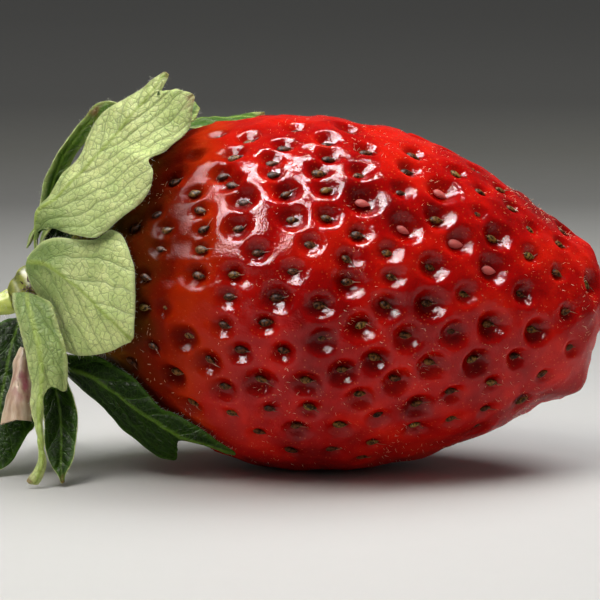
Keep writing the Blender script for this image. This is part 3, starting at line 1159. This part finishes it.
class Leaf:
    """One leaf's middle surface as a grid of points, with what its faces need to know."""

    def __init__(self, name, traits):
        self.name, self.outer, self.spacing = name, traits["outer"], traits["vein"]
        v = np.linspace(0, 1, traits["rows"] + 1)
        u = np.linspace(-1, 1, 2 * LEAF_HALF + 1)
        left, middle, right = (smooth_line(rail, v) for rail in LEAVES[name])
        a = np.abs(u)[None, :, None]
        edge = np.where(u[None, :, None] < 0, left[:, None], right[:, None])
        flat = middle[:, None] * (1 - a) + edge * a
        bow = (
            middle[:, None]
            + u[None, :, None] * (right - left)[:, None] / 2
            + (u**2)[None, :, None] * ((right + left) / 2 - middle)[:, None]
        )
        grid = flat * (1 - BOW_SHARE) + bow * BOW_SHARE
        widths = np.linalg.norm(edge - middle[:, None], axis=-1)
        run = np.concatenate([[0], np.cumsum(np.linalg.norm(np.diff(middle, axis=0), axis=1))])
        self.across = u[None, :] * widths
        self.along = np.repeat(run[:, None], len(u), axis=1)
        self.edge = (1 - np.abs(u))[None, :] * widths
        normal = self.normals(grid)
        # The margin waves, the midrib stands out on the underside and the tissue
        # bulges a little between the side veins.
        wave = traits["wave"] * (np.abs(u) ** 2)[None, :] * np.sin(
            self.along * 2 * math.pi / 6.5 + 1.5 * u[None, :]
        )
        slant = self.along - VEIN_SLOPE * np.abs(self.across)
        near = np.abs((slant / self.spacing) % 1.0 - 0.5) * 2
        thick = np.clip(1 - v, 0, 1)[:, None] * 0.16 + 0.04
        rib = thick * np.exp(-((self.across / 0.38) ** 2))
        veins = 0.07 * np.exp(-(((1 - near) * self.spacing / 0.9) ** 2)) * np.clip(widths / 3, 0, 1)
        crumple = 0.10 * wobble(grid, 4.5, len(name)) + 0.035 * wobble(grid, 1.6, len(name) + 9)
        lift = wave + crumple + self.outer * (rib + veins)
        fade = np.clip(v / 0.08, 0, 1)[:, None]
        self.grid = grid + normal * (lift * fade)[..., None]
        self.normal = self.normals(self.grid)
        inside = np.clip(self.edge / 0.9, 0.0, 1.0)
        self.thickness = LEAF_RIM + (LEAF_THICK - LEAF_RIM) * inside
        self.dry = np.zeros_like(self.edge)
        self.tone = np.full_like(self.edge, traits["tone"])

    @staticmethod
    def normals(grid):
        """The direction square to the leaf at each point of the grid."""
        down = np.gradient(grid, axis=0)
        over = np.gradient(grid, axis=1)
        normal = np.cross(over, down)
        normal[-1], normal[0] = normal[-2], normal[1]
        return unit(normal)

    def brown(self, spot, size, strength):
        """Dries the leaf to brown round a spot, over about this size in millimetres."""
        far = np.linalg.norm(self.grid - np.array(spot), axis=-1)
        ragged = 1 + 0.35 * wobble(self.grid, 0.8, 31)
        self.dry = np.maximum(self.dry, strength * np.exp(-((far / (size * ragged)) ** 2)))

    def build(self, materials, slot="leaf", extra=None):
        """Makes the leaf's two faces and its rim. Extra layers are point values on its grid."""
        rows, columns = self.edge.shape
        half = self.normal * self.thickness[..., None] / 2 * self.outer
        top, bottom = (self.grid + half).reshape(-1, 3), (self.grid - half).reshape(-1, 3)
        count = rows * columns
        upper = grid_faces(rows, columns)
        lower = [tuple(count + k for k in face[::-1]) for face in upper]
        border = list(range(columns))
        border += [r * columns + columns - 1 for r in range(1, rows)]
        border += [(rows - 1) * columns + c for c in range(columns - 2, -1, -1)]
        border += [r * columns for r in range(rows - 2, 0, -1)]
        rim = []
        for a, b in zip(border, border[1:] + border[:1]):
            rim.append((b, a, a + count, b + count))
        faces = upper + lower + rim
        if self.outer < 0:
            faces = [face[::-1] for face in faces]
        slots = [0] * len(upper) + [1] * len(lower) + [0] * len(rim)
        layers = {name: getattr(self, name) for name in ("across", "along", "edge", "tone", "dry")}
        layers = {name: np.tile(values.ravel(), 2) for name, values in {**layers, **(extra or {})}.items()}
        layers["vein_spacing"] = np.full(2 * count, self.spacing)
        points = np.concatenate([top, bottom])
        settle(mesh_object(self.name + "_leaf", points, faces, materials, slots, layers), slot, self.name)

    def margin_hairs(self, random, each, length):
        """Roots, directions and lengths of hairs along both margins."""
        roots, ways, sizes = [], [], []
        for column, inner in ((0, 2), (-1, -3)):
            line = self.grid[:, column]
            outward = unit(line - self.grid[:, inner])
            tipward = unit(np.gradient(line, axis=0))
            run = np.concatenate([[0], np.cumsum(np.linalg.norm(np.diff(line, axis=0), axis=1))])
            places = np.arange(0.6, run[-1] - 0.1, each)
            places = places + random.uniform(-0.4, 0.4, len(places)) * each
            index = np.clip(np.searchsorted(run, places), 0, len(run) - 1)
            way = unit(outward[index] + 0.6 * tipward[index] + 0.35 * random.normal(size=(len(index), 3)))
            roots.append(line[index] - way * 0.05)
            ways.append(way)
            sizes.append(length * random.uniform(0.45, 1.15, len(index)))
        return np.concatenate(roots), np.concatenate(ways), np.concatenate(sizes)


def build_leaves():
    """The twelve leaves in their three finishes, and the hairs along their margins."""
    pale = leaf_material(
        "sepal_underside", cell="dcf096", cell_light="f2fcac", vein="3e6a1e", rib="a6be54",
        margin="cfdd92", dull="84a052", contrast=0.42, roughness=0.55, gloss=0.15,
    )
    dark = leaf_material(
        "sepal_upper_face", cell="173202", cell_light="264803", vein="3c6010", rib="5a7c22",
        margin="3f6414", dull="0c1a04", contrast=0.5, roughness=0.42, gloss=0.08,
    )
    fresh = leaf_material(
        "sepal_young_face", cell="5c8a20", cell_light="7aa630", vein="3f6a16", rib="96b84a",
        margin="b9cc74", dull="22400c", contrast=0.5, roughness=0.45, gloss=0.15,
    )
    faces = {"pale": pale, "dark": dark, "fresh": fresh}
    leaves = {name: Leaf(name, traits) for name, traits in LEAF_TRAITS.items()}
    for name, spot, size, strength in BROWN_SPOTS:
        leaves[name].brown(spot, size, strength)
    random = np.random.default_rng(5)
    hairs = []
    for leaf in leaves.values():
        leaf.build([faces[face] for face in LEAF_TRAITS[leaf.name].get("faces", ("pale", "dark"))])
        hairs.append(leaf.margin_hairs(random, each=0.26, length=0.42))
    roots, ways, sizes = (np.concatenate(part) for part in zip(*hairs))
    # Hairs that would reach the surface below are left out.
    keep = (roots + ways * sizes[:, None])[:, 2] > 0.1
    roots, ways, sizes = roots[keep], ways[keep], sizes[keep]
    bends = random.normal(size=ways.shape) * 0.12 - [0.0, 0.0, 0.03]
    silver = thread_material("plant_hair", "c9cfae", "f1f2e2", 0.4)
    thread_piece("leaf_hairs", "leaf", silver, roots, ways, sizes, 0.015, bends)


def build_petal():
    """The petal, which curls on its lines as a leaf does, with a pink blush on one side."""
    petal = Leaf("dried_petal", PETAL_TRAITS)
    far = np.linalg.norm(petal.grid - np.array(BLUSH_SPOT), axis=-1)
    blush = np.exp(-((far / BLUSH_SIZE) ** 2))
    material = petal_material()
    petal.build([material, material], slot="dried_petal", extra={"blush": blush})


def sweep(points, radii, sides, ridges, ridge_height, seed):
    """A closed tube along the points, with lengthwise ridges: its points and faces."""
    ways = unit(np.gradient(points, axis=0))
    one = unit(np.cross(ways, [0.0, 1.0, 0.0]))
    two = np.cross(ways, one)
    angle = np.arange(sides) * 2 * math.pi / sides
    shape = 1 + ridge_height * np.sin(ridges * angle)[None, :]
    ring = one[:, None] * np.cos(angle)[None, :, None] + two[:, None] * np.sin(angle)[None, :, None]
    block = points[:, None] + ring * (radii[:, None] * shape)[..., None]
    block = block + ring * (0.05 * wobble(block, 1.6, seed))[..., None]
    flat = np.concatenate([block.reshape(-1, 3), points[:1], points[-1:]])
    faces = [face[::-1] for face in closed_faces(len(points), sides)]
    return flat, faces, one, two


def build_stalk():
    """The cut stalk, ribbed lengthwise, and the hairs that stand out from it."""
    shares = np.linspace(0, 1, 90)
    line = smooth_line(STALK_LINE, shares)
    radii = STALK_RADIUS * (1 + 0.18 * np.exp(-((shares / 0.06) ** 2)))
    points, faces, one, two = sweep(line, radii, sides=36, ridges=7, ridge_height=0.045, seed=41)
    green = flesh_green_material("stalk_green", "b2c440", "e2ee78", "8d6a32", 1300.0, 0.50)
    stalk = mesh_object("stalk_stem", points, faces, [green])
    settle(stalk, "stalk", "stalk")
    random = np.random.default_rng(17)
    count = 420
    index = random.integers(4, 88, count)
    angle = random.uniform(0, 2 * math.pi, count)
    out = one[index] * np.cos(angle)[:, None] + two[index] * np.sin(angle)[:, None]
    roots = line[index] + out * 1.05
    directions = unit(out + 0.4 * random.normal(size=out.shape))
    lengths = random.uniform(0.4, 1.0, count)
    bends = random.normal(size=out.shape) * 0.12
    silver = thread_material("stalk_hair", "cfd3b4", "f3f3e4", 0.4)
    thread_piece("stalk_hairs", "stalk", silver, roots, directions, lengths, 0.018, bends)


def build_cup():
    """The cup that the leaves spring from, and the withered stamens in its open side."""
    start, end = np.array(CUP_LINE, float)
    shares = np.linspace(0, 1, 26)
    line = start + (end - start) * shares[:, None]
    radii = np.interp(shares, (0.0, 0.25, 0.7, 1.0), (1.25, 1.75, 2.2, 2.2)) + 0.08 * np.sin(shares * 14)
    points, faces, *_ = sweep(line, radii, sides=44, ridges=5, ridge_height=0.05, seed=43)
    green = flesh_green_material("cup_green", "5f6a16", "a4a83a", "3a2410", 1500.0, 0.45)
    cup = mesh_object("cup_of_the_cap", points, faces, [green])
    settle(cup, "calyx_cup", "calyx_cup")
    random = np.random.default_rng(29)
    count = 26
    roots = np.array(CUP_HOLLOW) + random.normal(size=(count, 3)) * (0.35, 0.12, 0.5)
    ways = unit(np.array((0.0, -0.9, 0.35)) + 0.5 * random.normal(size=(count, 3)))
    lengths = random.uniform(0.5, 1.2, count)
    bends = random.normal(size=(count, 3)) * 0.3
    brown = thread_material("stamen_withered", "2a160a", "8a5426")
    thread_piece("withered_stamens", "calyx_cup", brown, roots, ways, lengths, 0.09, bends, sides=5)


# ---------------------------------------------------------------- the stage


def look_from(target, azimuth, elevation, distance):
    """A place this far from the target, seen from this side, and the turn that looks at it."""
    a, e = math.radians(azimuth), math.radians(elevation)
    back = Vector((math.sin(a) * math.cos(e), -math.cos(a) * math.cos(e), math.sin(e)))
    return Vector(target) + back * distance, (-back).to_track_quat("-Z", "Y").to_euler()


def softbox(name, azimuth, elevation, distance, size, power, colour):
    """A rectangular light in metres and watts that looks at the fruit's middle."""
    light = bpy.data.lights.new(name, "AREA")
    light.shape = "RECTANGLE"
    light.size, light.size_y = size
    light.energy = power
    light.color = linear(colour)[:3]
    lamp = bpy.data.objects.new(name, light)
    lamp.location, lamp.rotation_euler = look_from(STAGE_MIDDLE, azimuth, elevation, distance)
    lamp.visible_camera = False
    bpy.context.scene.collection.objects.link(lamp)
    return lamp


def build_stage(settings):
    """The board under the fruit, the room's dim light, the lamps and the camera."""
    shape = bmesh.new()
    bmesh.ops.create_circle(shape, cap_ends=True, segments=96, radius=BOARD_RADIUS)
    board = bpy.data.meshes.new("board")
    shape.to_mesh(board)
    shape.free()
    board.materials.append(floor_material())
    floor = bpy.data.objects.new("board", board)
    bpy.context.scene.collection.objects.link(floor)

    scene = bpy.context.scene
    world = bpy.data.worlds.new("room")
    scene.world = world
    world.use_nodes = True
    background = world.node_tree.nodes["Background"]
    background.inputs["Color"].default_value = linear("ffffff")
    background.inputs["Strength"].default_value = settings.room_light

    # Three wide lights shade the fruit softly; two bright panels only shine in its wax.
    soft = (
        softbox("side_softbox", -48, 58, 0.45, (0.22, 0.24), settings.side_power, "fffaf2"),
        softbox("top_softbox", -35, 80, 0.42, (0.26, 0.22), settings.top_power, "ffffff"),
        softbox("back_softbox", 132, 62, 0.45, (0.40, 0.30), settings.back_power, "ffffff"),
    )
    for lamp in soft:
        lamp.visible_glossy = False
    overhead_power = settings.panel_power * OVERHEAD_SHARE
    side_power = settings.panel_power * SIDE_SHARE
    panels = (
        softbox("overhead_panel", -80, 76, 0.45, (0.11, 0.46), overhead_power, "fffafa"),
        softbox("side_panel", -44, 47, 0.42, (0.28, 0.24), side_power, "fff8f6"),
    )
    for lamp in panels:
        lamp.visible_diffuse = False

    lens = bpy.data.cameras.new("camera")
    lens.sensor_width = 36.0
    lens.lens = lens.sensor_width * VIEW_DISTANCE / VIEW_WIDTH
    lens.clip_start, lens.clip_end = 0.01, 20.0
    camera = bpy.data.objects.new("camera", lens)
    camera.location, camera.rotation_euler = look_from(
        VIEW_TARGET * MM, 0.0, VIEW_ELEVATION, VIEW_DISTANCE * MM
    )
    scene.collection.objects.link(camera)
    scene.camera = camera
    scene.view_settings.view_transform = "Standard"


# ---------------------------------------------------------------- the add-on


class StrawberryFruitSettings(bpy.types.PropertyGroup):
    """Sizes of the fruit's pits and seeds."""

    pit_depth: bpy.props.FloatProperty(
        name="Pit depth", description="Depth of the deepest pits", default=1.05 * MM,
        min=0.0, unit="LENGTH", subtype="DISTANCE",
    )
    seed_spacing: bpy.props.FloatProperty(
        name="Seed spacing", description="Distance between seeds at the fruit's middle",
        default=3.7 * MM, min=1.5 * MM, unit="LENGTH", subtype="DISTANCE",
    )
    seed_size: bpy.props.FloatVectorProperty(
        name="Seed size", description="Length, width and height of a seed", size=3,
        default=(1.42 * MM, 0.84 * MM, 0.56 * MM), unit="LENGTH", subtype="XYZ_LENGTH",
    )


class StrawberryStageSettings(bpy.types.PropertyGroup):
    """Light on the stage."""

    side_power: bpy.props.FloatProperty(
        name="Side light", description="Power of the softbox at the left", default=0.98, unit="POWER"
    )
    top_power: bpy.props.FloatProperty(
        name="Top light", description="Power of the softbox overhead", default=0.60, unit="POWER"
    )
    back_power: bpy.props.FloatProperty(
        name="Back light", description="Power of the wide softbox behind and above",
        default=2.15, unit="POWER",
    )
    panel_power: bpy.props.FloatProperty(
        name="Panels", description="Power that both panels shining in the wax are set by",
        default=5.1, unit="POWER",
    )
    room_light: bpy.props.FloatProperty(
        name="Room light", description="Strength of the dim light from all round", default=0.12, min=0.0
    )


class STRAWBERRY_OT_fruit(bpy.types.Operator):
    """Build the fruit's pitted skin, its seeds, dried styles and fine hairs"""

    bl_idname = "strawberry.fruit"
    bl_label = "Fruit and Seeds"

    def execute(self, context):
        settings = context.scene.strawberry_fruit
        seeds = build_fruit(settings)
        build_seeds(settings, seeds)
        build_fruit_hairs(settings, seeds)
        return {"FINISHED"}


class STRAWBERRY_OT_leaves(bpy.types.Operator):
    """Build the cap's leaves with their veins and margin hairs"""

    bl_idname = "strawberry.leaves"
    bl_label = "Leaves"

    def execute(self, context):
        build_leaves()
        return {"FINISHED"}


class STRAWBERRY_OT_petal(bpy.types.Operator):
    """Build the withered petal that stayed on the cap"""

    bl_idname = "strawberry.petal"
    bl_label = "Withered Petal"

    def execute(self, context):
        build_petal()
        return {"FINISHED"}


class STRAWBERRY_OT_stalk(bpy.types.Operator):
    """Build the cup of the cap and the cut stalk with its hairs"""

    bl_idname = "strawberry.stalk"
    bl_label = "Cup and Stalk"

    def execute(self, context):
        build_cup()
        build_stalk()
        return {"FINISHED"}


class STRAWBERRY_OT_stage(bpy.types.Operator):
    """Build the floor, the softboxes and the camera"""

    bl_idname = "strawberry.stage"
    bl_label = "Stage"

    def execute(self, context):
        build_stage(context.scene.strawberry_stage)
        return {"FINISHED"}


class STRAWBERRY_PT_panel(bpy.types.Panel):
    """The strawberry's pieces and sizes"""

    bl_idname = "STRAWBERRY_PT_panel"
    bl_label = "Strawberry"
    bl_space_type = "VIEW_3D"
    bl_region_type = "UI"
    bl_category = "Strawberry"

    def draw(self, context):
        for operator in OPERATORS:
            self.layout.operator(operator.bl_idname)
        for group in (context.scene.strawberry_fruit, context.scene.strawberry_stage):
            for name in group.bl_rna.properties.keys():
                if name not in ("rna_type", "name"):
                    self.layout.prop(group, name)


OPERATORS = (
    STRAWBERRY_OT_stage,
    STRAWBERRY_OT_fruit,
    STRAWBERRY_OT_leaves,
    STRAWBERRY_OT_petal,
    STRAWBERRY_OT_stalk,
)
CLASSES = (StrawberryFruitSettings, StrawberryStageSettings, *OPERATORS, STRAWBERRY_PT_panel)


def register():
    for cls in CLASSES:
        bpy.utils.register_class(cls)
    bpy.types.Scene.strawberry_fruit = bpy.props.PointerProperty(type=StrawberryFruitSettings)
    bpy.types.Scene.strawberry_stage = bpy.props.PointerProperty(type=StrawberryStageSettings)


def unregister():
    del bpy.types.Scene.strawberry_stage
    del bpy.types.Scene.strawberry_fruit
    for cls in reversed(CLASSES):
        bpy.utils.unregister_class(cls)


def main():
    register()
    for operator in OPERATORS:
        group, name = operator.bl_idname.split(".")
        getattr(getattr(bpy.ops, group), name)()


if __name__ == "__main__":
    main()
